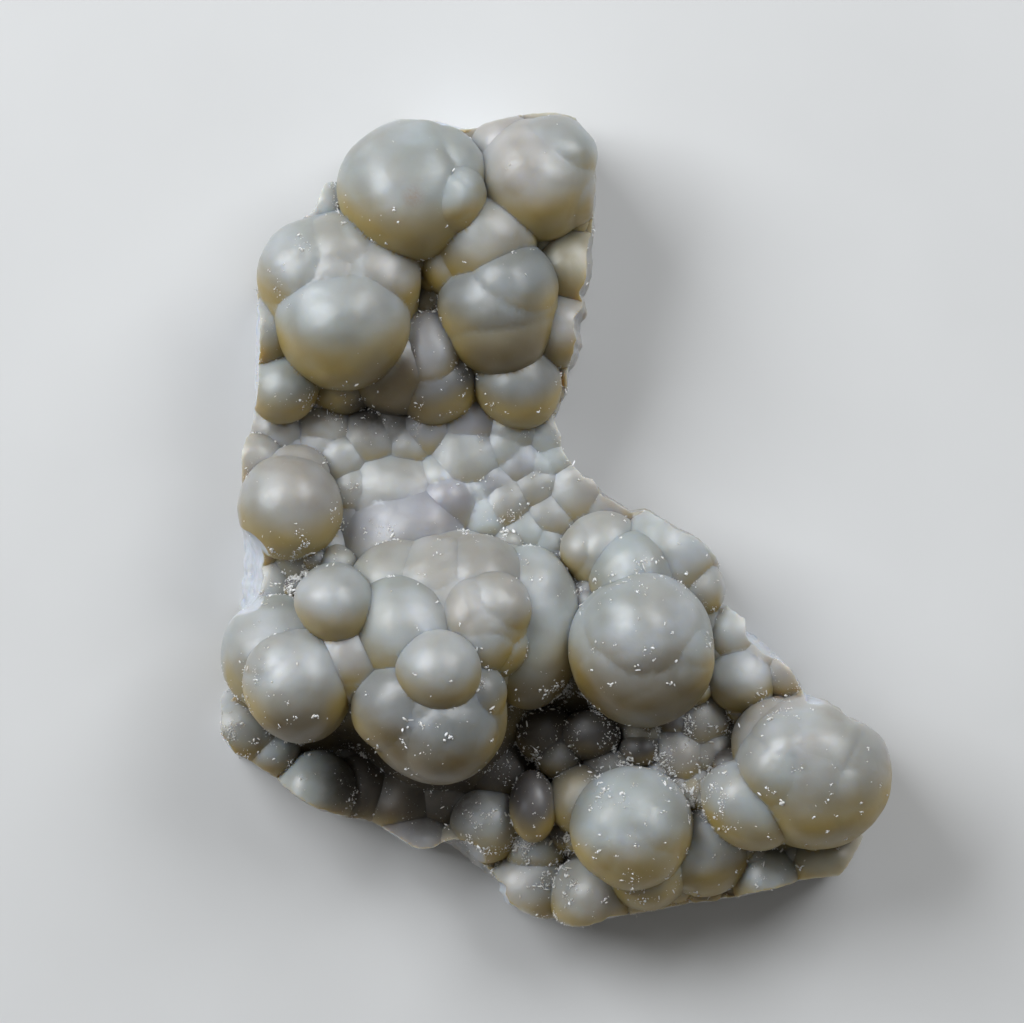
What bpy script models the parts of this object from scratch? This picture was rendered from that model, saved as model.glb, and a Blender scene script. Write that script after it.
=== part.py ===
"""Botryoidal chalcedony: one crust of grown-together rounded knobs, broken off
around its rim and sawn flat at the back. Rests on the flat back, knobs up."""
import bpy
import bmesh
from math import radians, sqrt
from mathutils import Matrix

# ---------------------------------------------------------------- dimensions
UNIT = 0.0001          # one drawing unit is a tenth of a millimetre
SHEET_X = 555.0        # drawing point that lies over the origin
SHEET_Y = 521.0
AXIS_X = 512.0         # point of the drawing that is seen straight on
AXIS_Y = 511.5
VIEW_DISTANCE = 6000.0  # the drawing is seen from this far, in units
RIM_LEVEL = 100.0      # height that the outline was drawn at
PLATE_TOP = 60.0       # crust between and under the knobs
BELOW = 20.0           # how far the blanks run below the sawn back
VOXEL = 0.00055        # blending grid of the knob mass
KEEP = 0.075           # share of the faces kept on the knob mass
CUT_TOP = 300.0        # height of the outline cutter

# Outline of the piece, seen from the knob side, x to the right and y down.
OUTLINE = [
    (339, 184), (345, 165), (352, 150), (364, 136), (378, 124), (400, 120),
    (435, 117), (450, 123), (470, 125), (490, 121), (515, 116), (535, 112),
    (555, 112), (576, 120), (586, 135), (593, 150), (596, 165), (596, 180),
    (594, 230), (594, 262), (590, 285), (584, 295), (587, 310), (580, 324),
    (584, 343), (579, 357), (570, 370), (567, 392), (554, 417), (561, 440),
    (569, 458), (584, 476), (605, 492), (632, 509), (648, 507), (669, 519),
    (690, 533), (703, 545), (713, 558), (719, 572), (721, 600), (733, 611),
    (745, 618), (750, 631), (770, 646), (782, 657), (796, 672), (809, 696),
    (827, 701), (846, 718), (875, 735), (888, 751), (893, 767), (894, 786),
    (890, 803), (871, 829), (853, 857), (841, 876), (801, 884), (775, 893),
    (720, 904), (664, 915), (609, 923), (587, 930), (571, 930), (541, 921),
    (505, 908), (498, 894), (495, 884), (473, 868), (449, 850), (433, 853),
    (411, 851), (385, 835), (354, 824), (317, 812), (291, 795), (267, 776),
    (232, 759), (217, 736), (216, 728), (218, 703), (224, 690), (222, 665),
    (225, 640), (234, 615), (237, 582), (240, 555), (236, 508), (240, 485),
    (244, 450), (251, 412), (252, 360), (253, 320), (257, 268), (266, 241),
    (282, 224), (305, 217), (322, 200), (329, 187),
]

# Every knob: name, x, y, radius, then either the height of its centre or the
# neighbour that it grew against and the point where their crease is seen.
KNOBS = [
    # upper cluster
    ("A", 411, 190, 72, 130),
    ("A2", 446, 168, 43, ("A", 449, 150)),
    ("A3", 450, 196, 38, ("A", 450, 182)),
    ("B", 535, 180, 62, 116),
    ("B2", 560, 150, 42, ("B", 552, 155)),
    ("B3", 582, 200, 28, ("B", 577, 200)),
    ("Bt", 508, 150, 36, 110),
    ("Ear", 330, 208, 26, 96),
    ("Cm", 340, 290, 80, 98),
    ("C5", 343, 322, 68, 128),
    ("C3", 337, 272, 32, ("C5", 343, 283)),
    ("C2", 338, 245, 42, ("C3", 337, 262)),
    ("C1", 298, 262, 50, ("C2", 311, 245)),
    ("C1b", 290, 282, 24, ("C1", 290, 270)),
    ("C4", 388, 272, 44, ("C5", 395, 303)),
    ("C0", 335, 222, 26, ("C2", 340, 226)),
    ("D", 483, 241, 54, 118),
    ("E1", 509, 286, 50, 130),
    ("E2", 498, 305, 60, 116),
    ("E3", 500, 321, 56, ("E2", 500, 329.5)),
    ("D2", 458, 258, 40, 110),
    ("F", 430, 344, 26, 116),
    ("F2", 433, 378, 40, 92),
    ("I", 400, 362, 54, 84),
    ("I2", 345, 378, 36, 76),
    ("I3", 456, 388, 26, 84),
    ("G", 518, 384, 44, 92),
    ("H1", 573, 268, 40, 92),
    ("H2", 562, 330, 40, 88),
    ("J", 283, 386, 37, 98),
    ("Sl", 268, 330, 34, 104),
    # low middle field
    ("m1", 272, 432, 34, 76),
    ("m2", 325, 426, 27, 82),
    ("m2b", 322, 443, 24, 84),
    ("m3", 370, 438, 26, 82),
    ("m5", 340, 458, 26, 82),
    ("m7", 428, 428, 26, 84),
    ("m8", 468, 422, 26, 84),
    ("m9", 512, 428, 26, 82),
    ("m10", 548, 434, 22, 84),
    ("m11", 556, 456, 20, 84),
    ("m12", 466, 458, 36, 72),
    ("m14", 520, 462, 24, 80),
    ("m17", 470, 494, 22, 82),
    ("m18", 484, 516, 26, 78),
    ("m19", 508, 502, 26, 82),
    ("m20", 536, 485, 24, 84),
    ("m22", 578, 490, 32, 76),
    ("m23", 552, 514, 24, 84),
    ("m24", 530, 532, 22, 82),
    ("m26", 605, 505, 30, 74),
    ("K", 290, 508, 53, 108),
    ("Kc", 297, 478, 34, 96),
    ("Kd", 256, 462, 30, 84),
    ("K2", 393, 500, 48, 70),
    ("K2b", 405, 548, 78, ("K2", 388, 489)),
    ("K2c", 355, 492, 26, 92),
    ("K3", 446, 510, 32, 88),
    ("K4", 440, 478, 20, 92),
    ("V1", 316, 560, 42, 78),
    ("V2", 276, 592, 38, 66),
    ("V3", 256, 560, 34, 52),
    ("V4", 358, 520, 26, 84),
    # large lower cluster
    ("Ld", 450, 630, 90, 96),
    ("La", 385, 576, 54, 118),
    ("Lb", 432, 582, 54, 124),
    ("Lc", 484, 582, 54, 124),
    ("L0", 280, 655, 60, 104),
    ("L1", 334, 604, 40, 172),
    ("L2", 298, 686, 55, 156),
    ("L2c", 268, 655, 28, ("L2", 278, 660)),
    ("L3", 404, 632, 58, 150),
    ("L3b", 358, 652, 32, ("L1", 350, 634)),
    ("L5", 436, 714, 71, 150),
    ("L6", 438, 671, 42, 200),
    ("L4", 392, 704, 50, ("L5", 408, 725)),
    ("L5c", 448, 735, 50, ("L5", 418, 722)),
    ("L7", 481, 622, 48, 152),
    ("L7b", 500, 603, 38, ("L7", 500, 618)),
    ("L7c", 463, 606, 34, ("L7", 470, 618)),
    ("L7d", 482, 652, 34, ("L7", 480, 631)),
    ("L7e", 508, 658, 35, ("L7", 510, 645)),
    ("L7f", 494, 684, 30, ("L5", 480, 700)),
    ("L8", 530, 628, 53, 112),
    # right-hand knob and those behind it
    ("M", 643, 649, 73, 138),
    ("M1", 640, 622, 58, ("M", 660, 668)),
    ("M2", 694, 668, 36, ("M", 676, 674)),
    ("N1", 604, 551, 40, 92),
    ("N1b", 582, 548, 26, ("N1", 590, 548)),
    ("N2", 634, 577, 45, 112),
    ("N3", 664, 558, 50, 88),
    ("N3c", 690, 545, 34, 86),
    ("N3b", 692, 588, 32, 92),
    ("O1", 733, 635, 32, 80),
    ("O2", 742, 678, 36, 84),
    ("O3", 754, 658, 30, 78),
    ("O4", 784, 672, 30, 76),
    # far right knob
    ("P", 812, 772, 78, 120),
    ("P1", 764, 732, 40, ("P", 752, 730)),
    ("P5", 849, 786, 46, ("P", 852, 760)),
    ("P6", 778, 740, 34, ("P", 790, 756)),
    ("P7", 805, 736, 32, ("P6", 797, 738)),
    ("P7b", 828, 748, 28, ("P7", 822, 742)),
    ("P8", 768, 768, 40, ("P6", 770, 752)),
    ("P9", 842, 768, 40, ("P7b", 836, 760)),
    ("P2", 750, 806, 44, ("P", 764, 800)),
    ("P3", 768, 880, 37, 66),
    ("P4", 828, 860, 42, 62),
    # lower knob
    ("Q", 633, 826, 60, 116),
    ("Q1", 612, 838, 48, ("Q", 600, 793)),
    ("Q2", 655, 836, 42, ("Q", 655, 797)),
    ("Q3", 636, 852, 50, ("Q1", 615, 852)),
    ("Qb", 583, 800, 34, 84),
    ("Qc", 647, 866, 46, 84),
    ("R", 534, 808, 25, 92),
    ("T", 589, 736, 26, 90),
    ("T2", 640, 748, 17, 84),
    ("T4", 642, 734, 24, 72),
    ("T3", 545, 735, 30, 76),
    ("U", 705, 850, 46, 80),
    # low rim along the lower left and bottom
    ("S0", 245, 728, 42, 58),
    ("S0b", 270, 750, 30, 60),
    ("S1", 316, 793, 41, 58),
    ("S2", 412, 850, 38, 42),
    ("S3", 455, 850, 26, 50),
    ("S4", 487, 824, 38, 52),
    ("S5", 530, 888, 42, 40),
    ("S6", 590, 898, 42, 70),
    ("S7", 535, 850, 30, 50),
    ("W1", 680, 755, 34, 66),
    ("W2", 712, 755, 24, 70),
    ("W3", 700, 722, 34, 64),
    ("W4", 560, 757, 24, 76),
    ("W5", 400, 800, 40, 30),
    ("W6", 360, 790, 36, 34),
    ("W7", 700, 785, 28, 64),
    ("W8", 500, 770, 36, 40),
    ("W9", 440, 795, 36, 28),
    ("W10", 610, 770, 30, 70),
]

# Knobs that are longer one way: share by which they are longer, and the way
# it runs on the drawing in degrees, turning from right to up.
LONG = {"R": (1.40, 92.0), "P2": (1.12, -45.0), "S2": (1.12, 0.0), "F": (1.30, 92.0), "L8": (1.55, 88.0),
        "Ld": (1.12, 90.0), "M": (1.06, 90.0), "T": (1.20, 0.0), "T2": (1.30, 10.0)}
# Knobs grown into one larger knob: how far each is sunk towards it. The
# creases between them stay where they are and only get shallower.
SUNK = [
    ("A", 0.15, "A2 A3"), ("B", 0.34, "B2 B3"), ("Cm", 0.45, "C1 C2 C3 C4 C0 C1b"), ("C1", 0.4, "C1b"),
    ("E2", 0.15, "E1"), ("L2", 0.5, "L2c"), ("L5", 0.34, "L4 L5c L7f"), ("Ld", 0.25, "La Lb Lc"),
    ("L7", 0.40, "L7b L7c L7d L7e"), ("M", 0.60, "M1 M2"), ("N1", 0.3, "N1b"), ("P", 0.30, "P1"),
    ("P", 0.62, "P5 P6 P7 P7b P8 P9"), ("Q", 0.40, "Q1 Q2 Q3"),
]
# Low knobs packed side by side on the flat of the crust, sunk towards a plain
# just under their tops.
PLAIN = (450.0, 520.0, 800.0, -706.0)
SHALLOW = (0.035, "m1 m2 m2b m3 m5 m7 m8 m9 m10 m11 m12 m14 m17 m18 m19 m20 m22 m23 m24 "
                  "m26 K2 K2b K2c K3 K4 V1 V2 V3 V4")


def knob_heights():
    """Centre height of every knob, from its own value or from its crease."""
    done = {}
    for name, x, y, r, z in KNOBS:
        if isinstance(z, tuple):
            other, cx, cy = z
            ox, oy, orad, oz = done[other]
            crest = oz + sqrt(orad ** 2 - (cx - ox) ** 2 - (cy - oy) ** 2)
            z = crest - sqrt(r ** 2 - (cx - x) ** 2 - (cy - y) ** 2)
        done[name] = (x, y, r, z)
    done["plain"] = PLAIN
    for parent, much, names in [*SUNK, ("plain", *SHALLOW)]:
        X, Y, R, Z = done[parent]
        for name in names.split():
            x, y, r, z = done[name]
            a = ((1 - much) * (x * x + y * y + z * z - r * r)
                 + much * (X * X + Y * Y + Z * Z - R * R))
            x, y, z = x + much * (X - x), y + much * (Y - y), z + much * (Z - z)
            done[name] = (x, y, sqrt(x * x + y * y + z * z - a), z)
    del done["plain"]
    return done


def place(x, y, z):
    """Drawing point at height z to metres, taking out the drawing's perspective."""
    k = 1.0 - (z - RIM_LEVEL) / VIEW_DISTANCE
    return ((AXIS_X + (x - AXIS_X) * k - SHEET_X) * UNIT,
            (SHEET_Y - AXIS_Y - (y - AXIS_Y) * k) * UNIT,
            z * UNIT)


def collection(name):
    col = bpy.data.collections.new(name)
    bpy.context.scene.collection.children.link(col)
    return col


def outline_prism(name, z_low, z_high, col):
    """The outline as a closed block between two heights."""
    curve = bpy.data.curves.new(name, 'CURVE')
    curve.dimensions = '2D'
    curve.fill_mode = 'BOTH'
    curve.extrude = (z_high - z_low) * 0.5 * UNIT
    line = curve.splines.new('POLY')
    line.points.add(len(OUTLINE) - 1)
    for point, (x, y) in zip(line.points, OUTLINE):
        px, py, _ = place(x, y, RIM_LEVEL)
        point.co = (px, py, 0.0, 1.0)
    line.use_cyclic_u = True
    raw = bpy.data.objects.new(name + "_curve", curve)
    raw.location = (0.0, 0.0, (z_low + z_high) * 0.5 * UNIT)
    col.objects.link(raw)
    bpy.context.view_layer.update()
    ready = raw.evaluated_get(bpy.context.evaluated_depsgraph_get())
    mesh = bpy.data.meshes.new_from_object(ready)
    bm = bmesh.new()
    bm.from_mesh(mesh)
    bmesh.ops.remove_doubles(bm, verts=bm.verts, dist=1e-6)
    bmesh.ops.recalc_face_normals(bm, faces=bm.faces)
    bm.to_mesh(mesh)
    bm.free()
    block = bpy.data.objects.new(name, mesh)
    block.matrix_world = raw.matrix_world.copy()
    col.objects.link(block)
    bpy.data.objects.remove(raw)
    return block


for old in list(bpy.data.objects):
    bpy.data.objects.remove(old)

parts = collection("botryoidal_chalcedony")
cutters = collection("cutters")

stone = bpy.data.materials.new("chalcedony")
stone.use_nodes = True
shader = stone.node_tree.nodes["Principled BSDF"]
shader.inputs["Base Color"].default_value = (0.33, 0.33, 0.31, 1.0)
shader.inputs["Roughness"].default_value = 0.38
shader.inputs["Metallic"].default_value = 0.0

# Blanks: each knob is a ball on a column of its own radius that runs down
# through the crust, so nothing is hollow under the overhang.
bm = bmesh.new()
for name, (x, y, r, z) in knob_heights().items():
    px, py, pz = place(x, y, z)
    radius = r * UNIT
    longer, way = LONG.get(name, (1.0, 0.0))
    turn = Matrix.Rotation(radians(way), 4, 'Z')
    stretch = turn @ Matrix.Diagonal((longer, 1.0, 1.0, 1.0)) @ turn.inverted()
    bmesh.ops.create_icosphere(bm, subdivisions=3, radius=radius,
                               matrix=Matrix.Translation((px, py, pz)) @ stretch)
    length = pz + BELOW * UNIT
    bmesh.ops.create_cone(bm, cap_ends=True, segments=28, radius1=radius,
                          radius2=radius, depth=length,
                          matrix=Matrix.Translation((px, py, pz - length / 2)) @ stretch)
plate = outline_prism("crust_blank", -BELOW, PLATE_TOP, cutters)
bm_plate = plate.data.copy()
bm_plate.transform(plate.matrix_world)
bm.from_mesh(bm_plate)
mesh = bpy.data.meshes.new("chalcedony")
bm.to_mesh(mesh)
bm.free()
bpy.data.objects.remove(plate)

body = bpy.data.objects.new("chalcedony", mesh)
body.data.materials.append(stone)
parts.objects.link(body)

# One grown-together mass, with fewer and larger faces.
blend = body.modifiers.new("grown_together", 'REMESH')
blend.mode = 'VOXEL'
blend.voxel_size = VOXEL
fewer = body.modifiers.new("fewer_faces", 'DECIMATE')
fewer.ratio = KEEP

# Broken rim all round and the flat sawn back.
rim = outline_prism("rim_and_back", 0.0, CUT_TOP, cutters)
rim.hide_render = True
rim.display_type = 'WIRE'
cut = body.modifiers.new("rim_and_back", 'BOOLEAN')
cut.operation = 'INTERSECT'
cut.solver = 'EXACT'
cut.object = rim
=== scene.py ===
import bpy
import bmesh
import numpy as np
from math import asin, cos, pi, radians, sin, sqrt
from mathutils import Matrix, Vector
from mathutils.bvhtree import BVHTree


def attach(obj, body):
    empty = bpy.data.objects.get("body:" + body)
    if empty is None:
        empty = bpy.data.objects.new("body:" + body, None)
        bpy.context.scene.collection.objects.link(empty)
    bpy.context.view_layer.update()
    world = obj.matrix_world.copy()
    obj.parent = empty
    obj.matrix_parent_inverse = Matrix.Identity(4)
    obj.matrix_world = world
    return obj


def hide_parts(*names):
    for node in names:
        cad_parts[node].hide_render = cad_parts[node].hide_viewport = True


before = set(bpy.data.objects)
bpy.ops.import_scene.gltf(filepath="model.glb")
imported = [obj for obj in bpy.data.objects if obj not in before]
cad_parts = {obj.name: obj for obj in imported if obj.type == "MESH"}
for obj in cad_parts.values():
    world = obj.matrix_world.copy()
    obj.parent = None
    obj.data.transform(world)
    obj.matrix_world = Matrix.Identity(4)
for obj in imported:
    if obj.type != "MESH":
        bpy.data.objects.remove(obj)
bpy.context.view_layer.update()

# ------------------------------------------------------------------ drawing
# Lengths below are in tenths of a millimetre. The sheet's x runs right and y
# runs down; the piece's middle is at SHEET, and the sheet is seen square on
# from VIEW_DISTANCE above the rim level.
UNIT = 0.0001
SHEET = (555.0, 521.0)
AXIS = (512.0, 511.5)
VIEW_DISTANCE = 6000.0
RIM_LEVEL = 100.0
CELL = 2.5

OUTLINE = [
    (339,183),(342,172),(345,165),(349,157),(352,150),(358,142),(364,136),(370,130),(378,124),(390,122),(400,120),
    (410,119),(420,118),(435,117),(440,120),(450,123),(460,125),(470,125),(480,124),(490,121),(497,119),(505,118),
    (515,116),(525,114),(535,112),(555,112),(562,114),(570,117),(576,120),(581,128),(586,135),(590,142),(593,150),
    (595,157),(596,165),(596,180),(595,200),(594,230),(593,250),(594,262),(593,270),(592,278),(590,285),(587,290),
    (584,295),(586,302),(587,310),(585,315),(580,322),(580,330),(584,343),(580,350),(579,357),(575,365),(570,370),
    (568,385),(567,392),(562,400),(558,410),(554,417),(557,425),(560,432),(561,440),(563,447),(569,458),(575,467),
    (584,476),(593,478),(599,485),(605,492),(618,500),(632,509),(640,508),(648,507),(657,512),(669,519),(679,527),
    (690,533),(703,545),(713,558),(719,572),(722,586),(721,600),(730,610),(733,611),(745,618),(750,631),(759,637),
    (770,646),(782,657),(796,672),(802,683),(809,696),(827,701),(838,710),(846,718),(863,726),(875,735),(888,751),
    (893,767),(894,786),(890,803),(882,816),(871,829),(862,842),(853,857),(848,867),(841,876),(827,879),(801,884),
    (794,887),(775,893),(753,898),(720,904),(694,907),(664,915),(633,920),(609,923),(587,930),(571,930),(561,926),
    (541,921),(520,912),(505,908),(498,894),(499,887),(495,884),(480,873),(473,868),(464,860),(449,850),(443,849),
    (433,853),(418,853),(411,851),(398,844),(385,835),(371,827),(354,824),(332,817),(317,812),(303,803),(291,795),
    (282,788),(267,776),(254,769),(232,759),(224,748),(217,736),(216,731),(218,715),(218,703),(222,697),(224,690),
    (223,680),(222,665),(223,650),(225,640),(228,630),(232,622),(234,615),(236,595),(237,582),(239,572),(240,555),
    (239,535),(238,520),(236,508),(238,495),(240,485),(241,475),(242,460),(244,450),(246,440),(248,432),(250,425),
    (251,412),(252,400),(252,360),(252,340),(253,320),(254,300),(255,290),(256,280),(257,268),(259,258),(262,249),
    (266,241),(270,235),(275,229),(282,224),(290,220),(298,218),(305,217),(310,215),(316,210),(322,200),(326,192),
    (329,186),(333,185),(338,184),
]

# Knobs: name, x, y, radius, height of the centre or (neighbour, x, y of a
# point on their shared crease), tint.
# Tints: g grey, w warm pinkish grey, a amber grey, l lilac grey, p pale,
# v and s darker warm and plain grey,
# m, d and k ever darker lilac, b brown. The darkest, d, k and b, are partly
# the stone's own dark tone and partly painted shade, set on knobs that sit
# under overhangs and in hollows.
KNOBS = [
    # upper cluster
    ("A", 411,190,72, 130, "g"),
    ("A2", 446,168,43, ("A",449,150), "g"),
    ("A3", 450,196,38, ("A",450,182), "g"),
    ("B", 535,180,62, 116, "w"),
    ("B2", 560,150,42, ("B",552,155), "g"),
    ("B3", 582,200,28, ("B",577,200), "w"),
    ("Bt", 508,150,36, 110, "w"),
    ("Ear", 330,208,26, 96, "p"),
    ("Cm", 340,290,80, 98, "g"),
    ("C5", 343,322,68, 128, "g"),
    ("C3", 337,272,32, ("C5",343,283), "w"),
    ("C2", 338,245,42, ("C3",337,262), "w"),
    ("C1", 298,262,50, ("C2",311,245), "g"),
    ("C1b", 290,282,24, ("C1",290,270), "g"),
    ("C4", 388,272,44, ("C5",395,303), "w"),
    ("C0", 335,222,26, ("C2",340,226), "g"),
    ("g1", 436,300,26, 84, "a"),
    ("D", 483,241,54, 118, "w"),
    ("E1", 509,286,50, 130, "s"),
    ("E2", 498,305,60, 116, "s"),
    ("E3", 500,321,56, ("E2",500,329.5), "a"),
    ("D2", 458,258,40, 110, "w"),
    ("F", 430,352,29, 112, "l"),
    ("F2", 436,384,42, 90, "m"),
    ("I", 400,362,54, 84, "b"),
    ("I2", 345,378,36, 76, "b"),
    ("I3", 456,388,26, 84, "d"),
    ("G", 518,384,44, 92, "s"),
    ("H1", 573,268,40, 92, "a"),
    ("H2", 562,330,40, 88, "w"),
    ("J", 283,386,37, 98, "g"),
    ("Sl", 268,330,34, 104, "g"),
    # low middle field
    ("m1", 272,432,34, 76, "v"),
    ("m2", 325,426,27, 82, "v"),
    ("m2b", 322,443,24, 84, "v"),
    ("m3", 370,438,26, 82, "v"),
    ("m4", 395,428,20, 88, "w"),
    ("m5", 340,458,26, 82, "v"),
    ("m6", 408,442,20, 90, "v"),
    ("m7", 428,428,26, 84, "l"),
    ("m8", 468,422,26, 84, "l"),
    ("m9", 512,428,26, 82, "g"),
    ("m10", 548,434,22, 84, "g"),
    ("m11", 556,456,20, 84, "g"),
    ("m12", 466,458,36, 72, "g"),
    ("m13", 508,446,22, 84, "g"),
    ("m14", 520,462,24, 80, "l"),
    ("m15", 487,482,20, 82, "l"),
    ("m16", 500,484,18, 84, "l"),
    ("m17", 470,494,22, 82, "p"),
    ("m18", 484,516,26, 78, "p"),
    ("m19", 508,502,26, 82, "v"),
    ("m20", 536,485,24, 84, "v"),
    ("m21", 541,466,20, 86, "g"),
    ("m22", 578,490,32, 76, "v"),
    ("m23", 552,514,24, 84, "v"),
    ("m24", 530,532,22, 82, "g"),
    ("m25", 548,545,22, 82, "g"),
    ("m26", 605,505,30, 74, "v"),
    ("K", 290,508,53, 108, "w"),
    ("Kc", 297,478,34, 96, "w"),
    ("Kd", 256,462,30, 84, "w"),
    ("K2", 393,500,48, 70, "v"),
    ("K2b", 406,545,66, ("K2",405,494), "l"),
    ("K2c", 355,492,26, 92, "v"),
    ("K3", 446,506,32, 87, "l"),
    ("K4", 440,478,20, 92, "p"),
    ("V1", 316,560,42, 78, "v"),
    ("V2", 276,592,38, 66, "w"),
    ("V3", 256,560,34, 52, "p"),
    ("V4", 358,520,26, 84, "l"),
    # large lower cluster
    ("Ld", 450,630,90, 96, "w"),
    ("La", 385,576,54, 118, "w"),
    ("Lb", 432,582,54, 124, "w"),
    ("Lc", 484,582,54, 124, "w"),
    ("L0", 280,655,60, 104, "g"),
    ("L1", 334,604,40, 172, "g"),
    ("L2", 298,686,55, 156, "g"),
    ("L2c", 268,655,28, ("L2",278,660), "g"),
    ("L3", 404,632,58, 150, "g"),
    ("L3b", 352,658,46, ("L1",352,636), "w"),
    ("L5", 436,714,71, 150, "s"),
    ("L6", 438,671,42, 200, "g"),
    ("L4", 392,704,50, ("L5",408,725), "s"),
    ("L4b", 386,680,20, ("L4",386,685), "g"),
    ("L5c", 448,735,50, ("L5",418,722), "s"),
    ("L7", 481,622,48, 152, "w"),
    ("L7b", 500,603,38, ("L7",500,618), "w"),
    ("L7c", 463,606,34, ("L7",470,618), "w"),
    ("L7d", 482,652,34, ("L7",480,631), "g"),
    ("L7e", 508,658,35, ("L7",510,645), "g"),
    ("L7f", 494,684,30, ("L5",480,700), "s"),
    ("L8", 530,628,53, 112, "g"),
    # right-hand knob and those behind it
    ("M", 643,649,73, 138, "g"),
    ("M1", 640,622,58, ("M",660,668), "g"),
    ("M2", 694,668,36, ("M",676,674), "g"),
    ("N1", 604,551,40, 92, "w"),
    ("N1b", 582,548,26, ("N1",590,548), "w"),
    ("N2", 634,577,45, 112, "g"),
    ("N3", 664,558,50, 88, "p"),
    ("N3c", 690,545,34, 86, "p"),
    ("N3b", 692,588,32, 92, "w"),
    ("O1", 733,635,32, 80, "p"),
    ("O2", 742,678,36, 84, "p"),
    ("O3", 754,658,30, 78, "w"),
    ("O4", 784,672,30, 76, "w"),
    # far right knob
    ("P", 812,772,78, 120, "w"),
    ("P1", 764,732,40, ("P",752,730), "w"),
    ("P5", 849,786,46, ("P",852,760), "w"),
    ("P6", 778,740,34, ("P",790,756), "g"),
    ("P7", 805,736,32, ("P6",797,738), "g"),
    ("P7b", 828,748,28, ("P7",822,742), "g"),
    ("P8", 768,768,40, ("P6",770,752), "g"),
    ("P9", 842,768,40, ("P7b",836,760), "w"),
    ("P2", 750,806,44, ("P",764,800), "g"),
    ("P3", 768,880,37, 66, "g"),
    ("P4", 828,860,42, 62, "a"),
    # lower knob
    ("Q", 633,826,60, 116, "g"),
    ("Q1", 612,838,48, ("Q",600,793), "g"),
    ("Q2", 655,836,42, ("Q",655,797), "g"),
    ("Q3", 636,852,50, ("Q1",615,852), "g"),
    ("Qb", 583,800,34, 84, "a"),
    ("Qc", 647,866,46, 84, "a"),
    ("R", 534,808,25, 92, "d"),
    ("T", 589,736,26, 82, "k"),
    ("T2", 640,748,17, 84, "k"),
    ("T4", 642,734,24, 72, "a"),
    ("T3", 545,735,30, 70, "k"),
    ("U", 705,850,46, 80, "p"),
    # low rim along the lower left and bottom
    ("S0", 245,728,42, 58, "g"),
    ("S0b", 270,750,30, 60, "g"),
    ("S1", 316,793,41, 58, "g"),
    ("S2", 412,850,38, 42, "m"),
    ("S3", 455,850,26, 50, "a"),
    ("S4", 487,824,38, 52, "g"),
    ("S5", 530,888,42, 40, "w"),
    ("S6", 590,898,42, 70, "w"),
    ("S7", 535,850,30, 50, "g"),
    ("W1", 680,755,34, 66, "w"),
    ("W2", 712,755,24, 70, "w"),
    ("W3", 700,722,34, 64, "w"),
    ("W4", 560,757,24, 76, "p"),
    ("W5", 400,800,40, 30, "b"),
    ("W6", 360,790,36, 34, "b"),
    ("W7", 700,785,28, 64, "w"),
    ("W8", 500,770,36, 40, "d"),
    ("W9", 440,795,36, 28, "b"),
    ("W10", 610,770,30, 70, "p"),
]
# Knobs that are longer one way: share by which they are longer, and the way
# it runs on the sheet in degrees, turning from right to up.
LONG = {"R": (1.40, 92.0), "P2": (1.12, -45.0), "S2": (1.12, 0.0), "F": (1.50, 92.0), "L8": (1.55, 88.0),
        "Ld": (1.12, 90.0), "M": (1.06, 90.0), "T": (1.20, 0.0), "T2": (1.30, 10.0)}
# Knobs grown into one larger knob: how far each is sunk towards it. The
# creases between them stay where they are and only get shallower.
SUNK = [
    ("A", 0.15, "A2 A3"), ("B", 0.34, "B2 B3"), ("Cm", 0.45, "C1 C2 C3 C4 C0 C1b"), ("C1", 0.4, "C1b"),
    ("E2", 0.15, "E1"), ("L2", 0.5, "L2c"), ("L5", 0.34, "L4 L4b L5c L7f"), ("Ld", 0.25, "La Lb Lc"),
    ("L7", 0.78, "L7c"), ("L7", 0.40, "L7b L7d L7e"), ("M", 0.60, "M1"), ("M", 0.66, "M2"), ("N1", 0.3, "N1b"), ("P", 0.30, "P1"),
    ("P", 0.50, "P5 P6 P7 P7b P8 P9"), ("Q", 0.70, "Q1 Q2 Q3"),
]
# Low knobs packed side by side on the flat of the crust: these are broad
# and shallow, so each is sunk towards a plain just under their tops.
PLAIN = (450.0, 520.0, 800.0, -706.0)
SHALLOW = (0.035, "m1 m2 m2b m3 m4 m5 m6 m7 m8 m9 m10 m11 m12 m13 m14 m15 m16 m17 m18 m19 m20 m21 m22 m23 m24 m25 "
                  "m26 K2 K2b K2c K3 K4 V1 V2 V3 V4")
TINTS = {
    "g": (0.308, 0.318, 0.318), "w": (0.318, 0.306, 0.292), "a": (0.305, 0.272, 0.200), "l": (0.262, 0.258, 0.278),
    "p": (0.396, 0.408, 0.418), "v": (0.306, 0.296, 0.290), "s": (0.196, 0.203, 0.205), "m": (0.160, 0.153, 0.155),
    "d": (0.092, 0.085, 0.088), "k": (0.038, 0.034, 0.034), "b": (0.085, 0.058, 0.024),
}

# Knobs with the smoothest tops.
CALM = "C5 K L2 L5 L6 L1 J A E1 E2 E3 Q P2 L2 L3 G"

# Where the rim is a knob's own rounded side and not a break: x, y, reach.
WHOLE_RIM = [(350,150,46), (268,246,34), (224,655,36), (888,775,60), (715,575,30), (590,150,10)]
# Where the broken face is pale and fresh: x, y, reach.
PALE_RIM = [(248,575,44), (253,340,70), (440,120,60), (765,648,26), (812,697,10), (505,905,22), (236,750,24), (400,848,24)]
# The deepest hollows, where the painted shade is darkest: x, y, reach.
RECESSES = [(440,792,44), (365,778,40), (500,765,34), (590,738,44), (545,735,30), (385,402,40), (350,745,24)]
# Where no small knobs sit between the larger ones: x, y, reach.
PLAIN_SPOTS = [(262,742,30), (296,748,16), (520,850,20)]
# Where the painted shade on the lower sides is darkest: x, y, reach.
PAINTED_SHADOW_SPOTS = [(430,765,70), (640,705,70), (508,355,46), (300,735,40), (545,690,30), (400,395,40)]
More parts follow.
